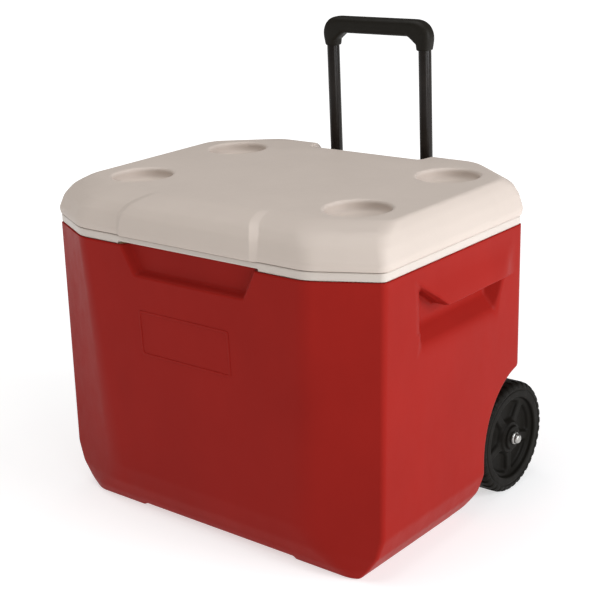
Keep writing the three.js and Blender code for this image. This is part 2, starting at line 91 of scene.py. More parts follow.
# height, half length, front, back, both legs of the front corner cut, and share of the back one
BODY_LEVELS = [
    (0, 238.5, -193, 178, 10, 5, 0.16), (14, 252, -201, 186, 34, 12, 0.34),
    (36, 268, -209, 192, 76, 20, 0.72), (64, 278, -213.5, 196, 106, 26, 1),
    (BODY_TOP, BODY_HALF, BODY_FRONT, BODY_BACK, *FRONT_CUT, 1),
]
SHELL_WALL = 4.0
RUNNER_INNER = 138.0
RUNNER_END = 17.8            # the runners stop where the wheel wells begin
UNDERSIDE = 5.0
WELL_X = 214.0
WELL_MIDDLE = 85.0
WELL_RADII = (95.0, 110.0)
CHANNEL_HALF, CHANNEL_Y, CHANNEL_FLOOR = 102.0, 188.0, 50.0
GRIP_LIP, GRIP_TURN, GRIP_CLIMB = 334.0, -50.0, 0.68
HOOD_FRONT, HOOD_BACK, HOOD_TOP, HOOD_PROUD = 125.0, 121.0, 390.5, 9.0
POCKET_FRONT, POCKET_BACK, POCKET_FLOOR, POCKET_DEPTH = 84.0, 76.0, 316.0, 36.0
RECESS_HALF, RECESS_LOW, RECESS_WALL = 101.0, 351.0, 206.5
SWEEP_START, SWEEP_RISE, SWEEP_RUN = 150.0, 57.0, 110.0    # the underside rises towards the back
PLATE_MIDDLE, PLATE_HALF = (-13.0, 277.5), (80.0, 31.5)    # length and height on the front
BORDER_HALF, BORDER_PROUD = 1.6, 0.7

RIM_TOP = RIM_HIGH[2]
TUB_WALL, TUB_FLOOR, TUB_HEIGHT = 3.0, 44.0, 365.7
CORNER_LEGS = (44.0, 40.0)   # corner cut of the tub and of the lid's plug
LID_BASE, LID_TOP = LID_LOW[2], LID_HIGH[2]
LID_WALL = 4.0
LID_CORE_BACK = 150.0
PLUG_DEPTH = 9.0
PANEL_HALF, PANEL_TAPER, PANEL_EASE = 124.0, 24.0, 11.5    # raised middle of the lid's front
CUP_RADIUS, CUP_DEPTH, CUP_X, CUP_Y = 42.0, 16.0, 188.0, 100.0
NOTCH_FRONT, NOTCH_HALF, NOTCH_FLARE, NOTCH_RUN = 164.0, 98.0, 14.0, 76.0
HINGE_X = (EAR_LOW[0] + EAR_HIGH[0]) / 2
HINGE_PIN = 3.0
SOCKET_HALF, SOCKET_FRONT, SOCKET_ROOF = 16.0, 9.6, 8.9
PIN_MIDDLE, PIN_REACH = 126.0, 36.0
EAR_DEPTH = 7.5              # half of an ear's upright
TUBE_X = (TUBE_LOW[0] + TUBE_HIGH[0]) / 2
TUBE_Y = (TUBE_LOW[1] + TUBE_HIGH[1]) / 2
TUBE_RADIUS = (TUBE_HIGH[0] - TUBE_LOW[0]) / 2
SLEEVE_BORE, SLEEVE_RADIUS, SLEEVE_SEAT = 10.0, 12.0, 12.3
GRIP_SOCKET_TOP = 630.4
BUSH_HOLE, AXLE_HOLE = 7.8, 5.1
GAP = 0.3                    # between pieces that sit against each other

ON_AXIS = 1e-6
LEVEL_STEP, LEVEL_EASE = 0.5, 7            # height step and reach of the eased level lists
SHARP_EDGE = math.radians(35)


# ---------------------------------------------------------------- field tools
def smax(a, b, r):
    """The larger of two distances, with the edge between them rounded over about r."""
    blend = np.maximum(r - np.abs(a - b), 0) / r
    return np.maximum(a, b) + blend * blend * r / 4


def smin(a, b, r):
    """The smaller of two distances, with the corner between them filled over about r."""
    return -smax(-a, -b, r)


def every(r, first, *others):
    """Inside all of the given distances."""
    for other in others:
        first = smax(first, other, r)
    return first


def soft_levels(levels, reach):
    """Functions of height for each column of a level list, with its corners eased over reach."""
    rows = np.array(levels, float)
    pad = 2 * reach
    heights = np.arange(rows[0, 0] - pad, rows[-1, 0] + pad, LEVEL_STEP)
    window = np.hanning(int(2 * reach / LEVEL_STEP) + 1)
    window /= window.sum()

    def column(i):
        low_slope = (rows[1, i] - rows[0, i]) / (rows[1, 0] - rows[0, 0])
        high_slope = (rows[-1, i] - rows[-2, i]) / (rows[-1, 0] - rows[-2, 0])
        line = np.interp(heights, rows[:, 0], rows[:, i])
        line += np.minimum(heights - rows[0, 0], 0) * low_slope
        line += np.maximum(heights - rows[-1, 0], 0) * high_slope
        eased = np.convolve(np.pad(line, len(window) // 2, mode="edge"), window, "valid")
        slopes = np.gradient(eased, heights)
        return (lambda z: np.interp(z, heights, eased),
                lambda z: np.sqrt(1 + np.interp(z, heights, slopes) ** 2))

    return [column(i) for i in range(1, rows.shape[1])]


def cut_rectangle(x, y, half, front, back, rounds, front_cut=FRONT_CUT, share=1.0):
    """Plan of the chest: a rectangle with cut corners. half, front and back are (place, slope) pairs."""
    ax = np.abs(x)
    side = (ax - half[0]) / half[1]
    near = (front[0] - y) / front[1]
    far = (y - back[0]) / back[1]

    def corner(cut, distance):
        return ((ax - half[0] + cut[0]) * cut[1] + distance * cut[0]) / np.hypot(*cut) / half[1]

    near_cut = corner(front_cut, front[0] - y)
    far_cut = corner([leg * share for leg in BACK_CUT], y - back[0])
    d = smax(side, near_cut, rounds[0])
    d = smax(d, far_cut, rounds[0])
    d = smax(d, near, rounds[1])
    return smax(d, far, rounds[1])


def surface(field, low, high, step, paired=True):
    """Closed quad skin over field = 0 by surface nets. paired: the field is even in x."""
    xs = np.arange(step / 2 if paired else low[0], high[0] + 2 * step, step)
    ys = np.arange(low[1] - 2 * step, high[1] + 2 * step, step)
    zs = np.arange(low[2] - 2 * step, high[2] + 2 * step, step)
    y, z = np.meshgrid(ys.astype(np.float32), zs.astype(np.float32), indexing="ij")
    values = np.stack([field(np.float32(x), y, z) + 0 * y for x in xs]).astype(np.float32)
    if paired:
        values = np.concatenate((values[::-1], values))
        xs = np.concatenate((-xs[::-1], xs))
    inside = values < 0
    corners = [(i, j, k) for i in (0, 1) for j in (0, 1) for k in (0, 1)]
    shape = [n - 1 for n in values.shape]
    count = np.zeros(shape, np.uint8)
    for i, j, k in corners:
        count += inside[i:i + shape[0], j:j + shape[1], k:k + shape[2]]
    cells = np.argwhere((count > 0) & (count < 8))
    index = np.full(shape, -1, np.int32)
    index[tuple(cells.T)] = np.arange(len(cells))
    total, hits = np.zeros((len(cells), 3)), np.zeros(len(cells))
    for axis in range(3):
        unit = np.eye(3, dtype=int)[axis]
        for start in [c for c in corners if c[axis] == 0]:
            near = values[tuple((cells + start).T)]
            far = values[tuple((cells + start + unit).T)]
            crossing = (near < 0) != (far < 0)
            t = np.where(crossing, near / np.where(crossing, near - far, 1), 0)
            total += crossing[:, None] * (np.array(start) + t[:, None] * unit)
            hits += crossing
    points = np.array([xs[0], ys[0], zs[0]]) + (cells + total / hits[:, None]) * step
    quads = []
    for axis in range(3):
        u, v = np.eye(3, dtype=int)[(axis + 1) % 3], np.eye(3, dtype=int)[(axis + 2) % 3]
        ahead = np.take(inside, range(1, inside.shape[axis]), axis)
        behind = np.take(inside, range(inside.shape[axis] - 1), axis)
        nodes = np.argwhere(ahead != behind)
        outward = behind[tuple(nodes.T)]
        ring = [index[tuple((nodes - shift).T)] for shift in (0 * u, u, u + v, v)]
        quad = np.stack(ring, 1)
        quad[~outward] = quad[~outward][:, ::-1]
        quads.append(quad)
    return points, np.concatenate(quads)


def slopes_at(field, points, reach=0.2):
    """Gradient of a field at each point."""
    return np.stack([
        (field(*(points + axis * reach).T) - field(*(points - axis * reach).T)) / (2 * reach)
        for axis in np.eye(3)], 1)


def settle(field, points, limit, rounds):
    """Moves points onto the skin and returns them with the skin's normals."""
    for _ in range(rounds):
        slope = slopes_at(field, points)
        size = np.maximum((slope * slope).sum(1), 0.3)
        move = slope * (field(*points.T) / size)[:, None]
        length = np.linalg.norm(move, axis=1)
        points = points - move * np.minimum(1, limit / np.maximum(length, 1e-9))[:, None]
    slope = slopes_at(field, points)
    return points, slope / np.maximum(np.linalg.norm(slope, axis=1), 1e-9)[:, None]


# ---------------------------------------------------------------- mesh tools
def mesh_of(name, points, faces):
    """Smooth mesh from millimetre points and faces that all have the same number of corners."""
    mesh = bpy.data.meshes.new(name)
    mesh.vertices.add(len(points))
    mesh.vertices.foreach_set("co", (np.asarray(points) * MM).astype(np.float32).ravel())
    corners = faces.shape[1]
    mesh.loops.add(faces.size)
    mesh.loops.foreach_set("vertex_index", faces.astype(np.int32).ravel())
    mesh.polygons.add(len(faces))
    mesh.polygons.foreach_set("loop_start", np.arange(0, faces.size, corners, dtype=np.int32))
    mesh.update(calc_edges=True)
    mesh.shade_smooth()
    return mesh


def points_of(mesh):
    """A mesh's points in millimetres."""
    flat = np.zeros(len(mesh.vertices) * 3)
    mesh.vertices.foreach_get("co", flat)
    return flat.reshape(-1, 3) / MM


def thinned(mesh, triangles):
    """The mesh with fewer triangles where it is flat."""
    have = len(mesh.polygons) * 2
    if have <= triangles:
        return mesh
    carrier = bpy.data.objects.new("carrier", mesh)
    bpy.context.scene.collection.objects.link(carrier)
    carrier.modifiers.new("thin", "DECIMATE").ratio = triangles / have
    graph = bpy.context.evaluated_depsgraph_get()
    thin = bpy.data.meshes.new_from_object(carrier.evaluated_get(graph))
    bpy.data.objects.remove(carrier)
    thin.shade_smooth()
    return thin


def moulded(name, field, low, high, step, triangles, paired=True):
    """Mesh of a distance field: netted, thinned, then settled back onto its skin."""
    points, quads = surface(field, low, high, step, paired)
    points = settle(field, points, step / 2, 1)[0]
    mesh = thinned(mesh_of(name, points, quads), triangles)
    points, normals = settle(field, points_of(mesh), step / 3, 2)
    mesh.vertices.foreach_set("co", (points * MM).astype(np.float32).ravel())
    mesh.update()
    mesh.normals_split_custom_set_from_vertices(normals)
    return mesh


def rounded(profile, reach, steps=4):
    """Closed (radius, height) profile with each corner off the axis turned into a short curve."""
    points = np.array(profile, float)
    out = []
    for i, corner in enumerate(points):
        if corner[0] < ON_AXIS:
            out.append(corner)
            continue
        before, after = points[i - 1], points[(i + 1) % len(points)]
        ends = []
        for other in (before, after):
            length = np.linalg.norm(other - corner)
            ends.append(corner + (other - corner) * min(reach, 0.45 * length) / length)
        for t in np.linspace(0, 1, steps):
            out.append((1 - t) ** 2 * ends[0] + 2 * t * (1 - t) * corner + t * t * ends[1])
    return np.array(out)


def lathe(name, profile, reach=0.5, sides=72):
    """Turned mesh about +Z. A profile that touches the axis starts and ends there."""
    profile = rounded(profile, reach)
    turns = np.arange(sides) * 2 * math.pi / sides
    count = len(profile)
    points = np.array([[r * math.cos(t), r * math.sin(t), h] for t in turns for r, h in profile])
    faces = []
    for s in range(sides):
        a, b = s * count, ((s + 1) % sides) * count
        for i in range(count):
            j = (i + 1) % count
            if profile[i, 0] < ON_AXIS and profile[j, 0] < ON_AXIS:
                continue
            faces.append((a + i, b + i, b + j, a + j))
    mesh = mesh_of(name, points, np.array(faces))
    radii, heights = profile.T
    signed_area = np.sum(radii * np.roll(heights, -1) - np.roll(radii, -1) * heights)
    if signed_area < 0:
        mesh.flip_normals()
    work = bmesh.new()
    work.from_mesh(mesh)
    bmesh.ops.remove_doubles(work, verts=work.verts, dist=1e-7)
    for edge in work.edges:
        edge.smooth = len(edge.link_faces) == 2 and edge.calc_face_angle(0) < SHARP_EDGE
    work.to_mesh(mesh)
    work.free()
    mesh.shade_smooth()
    return mesh


def along(axis, centre):
    """Turns a piece made about +Z so that it lies along an axis through a point in millimetres."""
    turn = {"x": Matrix.Rotation(math.pi / 2, 4, "Y"), "z": Matrix.Identity(4),
            "y": Matrix.Rotation(-math.pi / 2, 4, "X")}[axis]
    return Matrix.Translation(Vector(centre) * MM) @ turn


MIRROR = Matrix.Diagonal((-1, 1, 1, 1))


def copy_of(mesh, matrix):
    """A moved copy of a mesh. A mirror image keeps the custom normals."""
    twin = mesh.copy()
    normals = np.zeros(len(mesh.loops) * 3)
    mesh.corner_normals.foreach_get("vector", normals)
    had_custom = mesh.has_custom_normals
    twin.transform(matrix)
    if matrix.determinant() < 0:
        twin.flip_normals()
    if had_custom and matrix == MIRROR:
        by_vertex = np.zeros((len(mesh.vertices), 3))
        corners = np.zeros(len(mesh.loops), np.int32)
        mesh.loops.foreach_get("vertex_index", corners)
        by_vertex[corners] = normals.reshape(-1, 3) * (-1, 1, 1)
        twin.normals_split_custom_set_from_vertices(by_vertex)
    return twin


def piece(name, mesh, body, slot, *replaced):
    """Adds a visible piece in its place, rides it on its body and hides what it stands for."""
    mesh.name = name
    obj = bpy.data.objects.new(name, mesh)
    bpy.context.scene.collection.objects.link(obj)
    mesh.materials.clear()
    mesh.materials.append(MATERIALS[slot])
    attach(obj, body)
    if replaced:
        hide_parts(*replaced)
    return obj


def both(node, mesh, body, slot):
    """A right-hand piece and its mirror image. body may hold {} for the side."""
    for side, matrix in (("right", Matrix.Identity(4)), ("left", MIRROR)):
        name = f"{node}_{side}"
        piece(name + "_fine", copy_of(mesh, matrix), body.format(side), slot, name)


# ---------------------------------------------------------------- materials
def node(tree, kind, **settings):
    made = tree.nodes.new(kind)
    for key, value in settings.items():
        setattr(made, key, value)
    return made


def new_material(name):
    """A new material with its node tree, its shader and the object's own coordinates."""
    material = bpy.data.materials.new(name)
    material.use_nodes = True
    tree = material.node_tree
    coords = node(tree, "ShaderNodeTexCoord").outputs["Object"]
    return material, tree, tree.nodes["Principled BSDF"], coords


def noise(tree, coords, scale, detail=2.0, roughness=0.5, stretch=(1, 1, 1)):
    mapping = node(tree, "ShaderNodeMapping")
    mapping.inputs["Scale"].default_value = stretch
    texture = node(tree, "ShaderNodeTexNoise")
    texture.inputs["Scale"].default_value = scale
    texture.inputs["Detail"].default_value = detail
    texture.inputs["Roughness"].default_value = roughness
    tree.links.new(coords, mapping.inputs["Vector"])
    tree.links.new(mapping.outputs["Vector"], texture.inputs["Vector"])
    return texture.outputs["Fac"]


def ranged(tree, value, low, high, start=0.3, end=0.7):
    made = node(tree, "ShaderNodeMapRange")
    for socket, number in zip(("From Min", "From Max", "To Min", "To Max"), (start, end, low, high)):
        made.inputs[socket].default_value = number
    tree.links.new(value, made.inputs["Value"])
    return made.outputs["Result"]


def ramp(tree, value, stops):
    made = node(tree, "ShaderNodeValToRGB")
    elements = made.color_ramp.elements
    while len(elements) < len(stops):
        elements.new(0.5)
    for element, (place, colour) in zip(elements, stops):
        element.position = place
        element.color = (*colour, 1)
    tree.links.new(value, made.inputs["Fac"])
    return made.outputs["Color"]


def bumped(tree, layers):
    """Stacks bump layers of (height, strength, distance in metres)."""
    normal = None
    for height, strength, distance in layers:
        made = node(tree, "ShaderNodeBump")
        made.inputs["Strength"].default_value = strength
        made.inputs["Distance"].default_value = distance
        tree.links.new(height, made.inputs["Height"])
        if normal is not None:
            tree.links.new(normal, made.inputs["Normal"])
        normal = made.outputs["Normal"]
    return normal


def plastic(name, colour, variation, rough, grain, grain_depth, specular):
    """Moulded plastic: slow colour drift, fine pebbled grain, and roughness that follows the grain and a
    scuff noise.
    """
    material, tree, shader, coords = new_material(name)
    drift = noise(tree, coords, 7, 3)
    flow = noise(tree, coords, 22, 3, 0.6, (1, 1, 0.35))
    pebbles = noise(tree, coords, grain, 2, 0.6)
    fine = noise(tree, coords, grain * 2.7, 2, 0.5)
    mixed = node(tree, "ShaderNodeMath", operation="MULTIPLY_ADD")
    tree.links.new(flow, mixed.inputs[0])
    mixed.inputs[1].default_value = 0.5
    tree.links.new(drift, mixed.inputs[2])
    dark = tuple(c * (1 - variation) for c in colour)
    light = tuple(min(1, c * (1 + variation)) for c in colour)
    tree.links.new(ramp(tree, mixed.outputs["Value"], [(0.5, dark), (0.75, colour), (1.0, light)]),
                   shader.inputs["Base Color"])
    scuffs = noise(tree, coords, 60, 5, 0.65, (1, 1, 0.5))
    roughness = node(tree, "ShaderNodeMath", operation="ADD")
    tree.links.new(ranged(tree, scuffs, rough[0], rough[1]), roughness.inputs[0])
    tree.links.new(ranged(tree, pebbles, -0.03, 0.03), roughness.inputs[1])
    tree.links.new(roughness.outputs["Value"], shader.inputs["Roughness"])
    layers = [(flow, 0.12, 0.0012), (pebbles, 0.35, grain_depth), (fine, 0.25, grain_depth / 2)]
    tree.links.new(bumped(tree, layers), shader.inputs["Normal"])
    shader.inputs["Specular IOR Level"].default_value = specular
    return material


def painted_tube(name, colour, rough):
    """Gloss coating on a drawn tube: faint lines along it and soft waviness."""
    material, tree, shader, coords = new_material(name)
    lines = noise(tree, coords, 700, 2, 0.5, (1, 1, 0.01))
    drift = noise(tree, coords, 30, 3)
    dark, light = (tuple(c * share for c in colour) for share in (0.8, 1.3))
    tree.links.new(ramp(tree, drift, [(0.3, dark), (0.7, light)]), shader.inputs["Base Color"])
    tree.links.new(ranged(tree, lines, rough[0], rough[1]), shader.inputs["Roughness"])
    tree.links.new(bumped(tree, [(lines, 0.25, 0.00008), (drift, 0.2, 0.0004)]), shader.inputs["Normal"])
    shader.inputs["Specular IOR Level"].default_value = 0.2
    return material


def plated(name, colour, rough, turned_lines):
    """Zinc plated steel: fine tool marks, cloudy plating and slightly uneven gloss."""
    material, tree, shader, coords = new_material(name)
    clouds = noise(tree, coords, 300, 4, 0.6)
    marks = noise(tree, coords, 2500, 2, 0.5, turned_lines)
    tree.links.new(ramp(tree, clouds, [(0.3, tuple(c * 0.82 for c in colour)), (0.7, colour)]),
                   shader.inputs["Base Color"])
    tree.links.new(ranged(tree, clouds, rough[0], rough[1]), shader.inputs["Roughness"])
    tree.links.new(bumped(tree, [(marks, 0.2, 0.00004)]), shader.inputs["Normal"])
    shader.inputs["Metallic"].default_value = 1.0
    return material


def foam(name, colour):
    """Rigid insulating foam: small closed cells."""
    material, tree, shader, coords = new_material(name)
    cells = node(tree, "ShaderNodeTexVoronoi")
    cells.inputs["Scale"].default_value = 700
    tree.links.new(coords, cells.inputs["Vector"])
    away = cells.outputs["Distance"]
    middle = tuple(c * 0.8 for c in colour)
    tree.links.new(ramp(tree, away, [(0.0, middle), (0.6, colour)]), shader.inputs["Base Color"])
    tree.links.new(ranged(tree, away, 0.75, 0.95, 0.0, 0.7), shader.inputs["Roughness"])
    tree.links.new(bumped(tree, [(away, 0.5, 0.0004)]), shader.inputs["Normal"])
    return material


# plastic: name, colour, variation, roughness, grain per metre, grain depth in metres, specular
MATERIALS = {
    "shell_red": plastic(
        "red_polyethylene", (0.285, 0.0135, 0.0095), 0.05, (0.36, 0.48), 900, 0.00012, 0.04),
    "lid_white": plastic(
        "white_lid", (0.57, 0.495, 0.44), 0.025, (0.44, 0.56), 1100, 0.00012, 0.12),
    "liner_white": plastic(
        "white_liner", (0.57, 0.51, 0.46), 0.02, (0.30, 0.42), 700, 0.00005, 0.25),
    "foam": foam("insulating_foam", (0.80, 0.72, 0.42)),
    "trim_black": plastic(
        "black_trim", (0.014, 0.012, 0.010), 0.15, (0.40, 0.55), 1300, 0.0001, 0.25),
    "grip_black": plastic(
        "black_grip", (0.010, 0.0085, 0.006), 0.15, (0.42, 0.56), 1500, 0.0001, 0.14),
    "tube_black": painted_tube("black_coating", (0.009, 0.0062, 0.0045), (0.2, 0.32)),
    "wheel_black": plastic(
        "black_wheel", (0.0075, 0.0065, 0.005), 0.2, (0.45, 0.62), 1000, 0.00012, 0.07),
    "axle_steel": plated("zinc_axle", (0.45, 0.44, 0.42), (0.26, 0.42), (1, 0.05, 1)),
    "screw_steel": plated("zinc_screw", (0.66, 0.66, 0.66), (0.22, 0.38), (1, 1, 0.1)),
}


# ---------------------------------------------------------------- red shell
BODY_SHAPE = soft_levels(BODY_LEVELS, LEVEL_EASE)


def at_level(shape, z):
    """(place, slope) pairs of half length, front and back, the front corner's legs, the back's share."""
    along_leg, deep_leg, share = [np.maximum(value(z), 0.1) for value, _ in shape[3:]]
    return [(value(z), slope(z)) for value, slope in shape[:3]] + [(along_leg, deep_leg), share]


def wheel_well(x, y, z):
    """Arch over the wheel, flared at its front foot, open to the side and the back."""
    flare = 29.9 * np.exp(-np.maximum(z, 0) / 10.5)
    u = np.maximum((AXLE[1] - y - flare) / WELL_RADII[0], 0)
    v = np.maximum((z - WELL_MIDDLE) / WELL_RADII[1], 0)
    ring = np.sqrt(u * u + v * v)
    steep = np.sqrt((u / WELL_RADII[0]) ** 2 + (v / WELL_RADII[1]) ** 2)
    arch = np.where(ring > 0.05, (ring - 1) * ring / np.maximum(steep, 1e-6), -80)
    return smax(arch, WELL_X - np.abs(x), 8)


def finger_recess(x, y, z):
    """Trapezoid scooped out of the front under the middle of the lid."""
    depth = y + 232
    # dividing by 1.28 and 1.074 turns the two slanted measures into distances
    side = (np.abs(x) - (RECESS_HALF + 0.53 * (z - RECESS_LOW) - 0.6 * depth)) / 1.28
    floor = (RECESS_LOW + 0.392 * depth - z) / 1.074
    return every(3, side, floor, y + RECESS_WALL)


def leaning(place, slope):
    """Distance past a plane that shifts by slope for each millimetre across it."""
    return place / math.hypot(1, slope)


def grip_roof(y):
    """Height of the hood's underside: level along its lip, climbing towards the front."""
    return GRIP_LIP + np.maximum(GRIP_TURN - y, 0) * GRIP_CLIMB


def grip_hood(x, y, z):
    """Wedge that stands proud of each end above the finger pocket."""
    out = np.abs(x) - 279
    front, back, top = 75 / HOOD_PROUD, 39 / HOOD_PROUD, 49.5 / HOOD_PROUD
    return every(2.5, leaning(front * out - HOOD_FRONT - y, front), leaning(y - HOOD_BACK + back * out, back),
                 leaning(z - HOOD_TOP + top * out, top), np.abs(x) - SHELL_HIGH[0], grip_roof(y) - z,
                 -4 - out)


def grip_pocket(x, y, z):
    """Finger pocket under the hood, deepest at its top."""
    out = np.abs(x) - 260
    front, back, floor, lean = 33 / POCKET_DEPTH, 22 / POCKET_DEPTH, 44 / POCKET_DEPTH, 0.45
    return every(4, leaning(-POCKET_FRONT - front * out - y, front),
                 leaning(y - POCKET_BACK - back * out + lean * (GRIP_LIP - z), math.hypot(back, lean)),
                 leaning(POCKET_FLOOR - floor * out - z, floor),
                 leaning(z - grip_roof(y), GRIP_CLIMB / 2), -out)


def plate_border(x, y, z):
    """Plain raised border of the plate on the front, on the slanted face."""
    front, slope = BODY_SHAPE[1][0](z), BODY_SHAPE[1][1](z)
    out = (front - y) / slope
    edge = smax(np.abs(x - PLATE_MIDDLE[0]) - PLATE_HALF[0],
                np.abs(z - PLATE_MIDDLE[1]) - PLATE_HALF[1], 5)
    return every(0.8, np.abs(edge + BORDER_HALF) - BORDER_HALF, out - BORDER_PROUD, -0.6 - out)


def channel(x, y, z):
    """Channel for the pull handle in the middle of the back."""
    return every(6, np.abs(x) - CHANNEL_HALF, CHANNEL_Y - y, CHANNEL_FLOOR - z)


def shell_form(x, y, z):
    """Outer form of the shell, open upwards without end."""
    half, front, back, front_cut, share = at_level(BODY_SHAPE, z)
    upright = np.clip(z / 64, 0, 1)
    d = cut_rectangle(x, y, half, front, back, (2 + 4 * upright, 3 + 2 * upright), front_cut, share)
    d = smax(d, -z, 3)
    d = smin(d, grip_hood(x, y, z), 2)
    sweep = leaning(UNDERSIDE + (y - SWEEP_START) * SWEEP_RISE / SWEEP_RUN - z, SWEEP_RISE / SWEEP_RUN)
    d = smax(d, sweep, 4)
    under = smax(np.minimum(np.abs(x) - RUNNER_INNER, RUNNER_END - y), z - UNDERSIDE, 3)
    d = smax(d, -under, 3)
    # the pocket runs out softly into the wall below it, and the hood's front end is rounded more
    soft_below = 312
    low_part = np.clip((soft_below - z) / 36, 0, 1)
    front_part = np.clip((GRIP_TURN - y) / 20, 0, 1) * (z > soft_below)
    grip_edge = 3 + 7 * low_part + 6 * front_part
    for hollow, edge in ((wheel_well, 5), (channel, 5), (finger_recess, 3), (grip_pocket, grip_edge)):
        d = smax(d, -hollow(x, y, z), edge)
    return d


def shell(x, y, z):
    """The shell as a hollow skin, open at the top, with a bore for the axle."""
    form = shell_form(x, y, z)
    d = smax(smax(form, z - BODY_TOP, 1.2), -(form + SHELL_WALL), 1)
    bore = np.hypot(y - AXLE[1], z - AXLE[2]) - BUSH_HOLE
    return smax(d, -bore, 1)


# ---------------------------------------------------------------- tub and its white rim
def corner_cut(side, end):
    """Distance past a corner's cut, from the distances past the side and the end that it joins."""
    along_leg, deep_leg = CORNER_LEGS
    return ((side + along_leg) * deep_leg + end * along_leg) / math.hypot(along_leg, deep_leg)


def tub_cavity(x, y, z):
    """Inside of the tub, which stops short of the wheel wells and steps up over the axle."""
    rise = (z - TUB_FLOOR) / TUB_HEIGHT
    ax = np.abs(x)
    side, front, back = ax - (234 + 12 * rise), (-181 - 9 * rise) - y, y - (157.6 + 8 * rise)
    d = every(16, side, front, back, corner_cut(side, front), corner_cut(side, back))
    d = smax(d, TUB_FLOOR - z, 14)
    block = every(10, 204 - ax, 37 - y, z - 204)
    bench = smax(122 - y, z - 98, 10)
    return smax(smax(d, -block, 10), -bench, 10)


def tub(x, y, z):
    """The tub's thin walls with the flange that lies on the shell."""
    cavity = tub_cavity(x, y, z)
    plan = cut_rectangle(x, y, (BODY_HALF - 0.8, 1), (BODY_FRONT + 0.8, 1), (BODY_BACK - 0.8, 1), (6, 5))
    rim = every(1.4, plan, z - RIM_TOP, BODY_TOP + GAP - z)
    rim = smax(rim, -every(3, np.abs(x) - CHANNEL_HALF, CHANNEL_Y - y), 2)
    # the flange's underside steps up over the finger recess
    step_half = 122 + 0.4 * (z - 398)
    rim = smax(rim, -every(2, np.abs(x) - step_half, y - BODY_FRONT - 13, z - 399.5), 1.5)
    walls = smax(cavity - TUB_WALL, z - BODY_TOP, 2)
    return smax(smin(walls, rim, 4), -cavity, 4)


# ---------------------------------------------------------------- lid
# height, half length, front beside the middle panel, front of the middle panel, back
LID_LEVELS = [
    (LID_BASE, 283.5, -218, -222.3, 201), (417, 285.3, -218.5, -222.4, 202),
    (436, 279, -212.5, -218.5, 202), (450, 270.5, -200, -207, 199), (LID_TOP, 261.5, -174, -184, 188),
]
LID_SHAPE = soft_levels(LID_LEVELS, LEVEL_EASE)


def panel_share(x, z):
    """1 on the raised middle of the lid's front, 0 beside it, easing between the two."""
    rise = np.clip((z - LID_BASE) / (LID_TOP - LID_BASE), 0, 1.2)
    outer = PANEL_HALF - PANEL_TAPER * rise ** 4
    inner = outer - PANEL_EASE
    t = np.clip((outer - np.abs(x)) / (outer - inner), 0, 1)
    bend = 0.15     # share of the ease that the curve at each of its ends takes
    eased = np.where(t > 1 - bend, 1 - bend - (1 - t) ** 2 / (2 * bend), t - bend / 2)
    return np.where(t < bend, t * t / (2 * bend), eased) / (1 - bend)


def lid_form(x, y, z):
    """Outer form of the lid without its underside."""
    half, beside, middle, back = [(value(z), slope(z)) for value, slope in LID_SHAPE]
    share = panel_share(x, z)
    front = (beside[0] + (middle[0] - beside[0]) * share, beside[1] + (middle[1] - beside[1]) * share)
    d = cut_rectangle(x, y, half, front, back, (10, 6))
    d = smax(d, z - LID_TOP, 3 + 4 * np.clip((-130 - y) / 50, 0, 1))
    out = NOTCH_FRONT - y
    notch = every(8, out, leaning(np.abs(x) - NOTCH_HALF + out * NOTCH_FLARE / NOTCH_RUN,
                                  NOTCH_FLARE / NOTCH_RUN))
    return smax(d, -notch, 5)


def cups(x, y, z, grow=0.0):
    """The four cup rests, made larger all round by grow."""
    ring = np.hypot(np.abs(x) - CUP_X, np.abs(y) - CUP_Y)
    return smax(ring - CUP_RADIUS - grow, LID_TOP - CUP_DEPTH - grow - z, 9)


def lid_hollow(x, y, z, inset=0.0):
    """The hollow under the lid's skin, made smaller all round by inset."""
    d = every(3, lid_form(x, y, z) + LID_WALL + inset, y - LID_CORE_BACK + inset)
    return smax(d, -cups(x, y, z, 3 + inset), 3)


def lid(x, y, z):
    """The lid's moulded cover with the sockets for the hinge ears."""
    # below and behind the hinge line the underside follows a circle about it, so it clears the rim
    relief = np.hypot(np.maximum(y - HINGE[1], 0), np.maximum(HINGE[2] - z, 0)) - (HINGE[2] - LID_BASE)
    d = smax(lid_form(x, y, z), relief, 2.5)
    d = smax(d, -cups(x, y, z), 5)
    socket = every(2, np.abs(np.abs(x) - HINGE_X) - SOCKET_HALF, HINGE[1] - SOCKET_FRONT - y,
                   z - HINGE[2] - SOCKET_ROOF)
    d = smax(d, -socket, 2)
    d = smax(d, -lid_hollow(x, y, z), 1.5)
    pin = np.maximum(np.hypot(y - HINGE[1], z - HINGE[2]) - HINGE_PIN - GAP,
                     np.abs(np.abs(x) - PIN_MIDDLE) - PIN_REACH)
    return np.maximum(d, -pin)


def lid_panel(x, y, z):
    """Inner panel of the lid with its shallow plug."""
    sheet = every(1.5, lid_hollow(x, y, z, GAP), z - LID_BASE - 5, LID_BASE - z)
    rise = (z - LID_BASE + PLUG_DEPTH) / 11
    ax = np.abs(x)
    side, front, back = ax - (232 + 6 * rise), (-176 - 6 * rise) - y, y - (143 + 5 * rise)
    plug = every(20, side, front, back, corner_cut(side, front), corner_cut(side, back))
    plug = every(5, plug, LID_BASE - PLUG_DEPTH - z, z - LID_BASE - 2)
    # shallow pan pressed into the middle of the plug
    pan = every(12, ax - 205, -150 - y, y - 118)
    plug = smax(plug, -smax(pan, z - LID_BASE + 5, 5), 3)
    return smin(sheet, plug, 2)


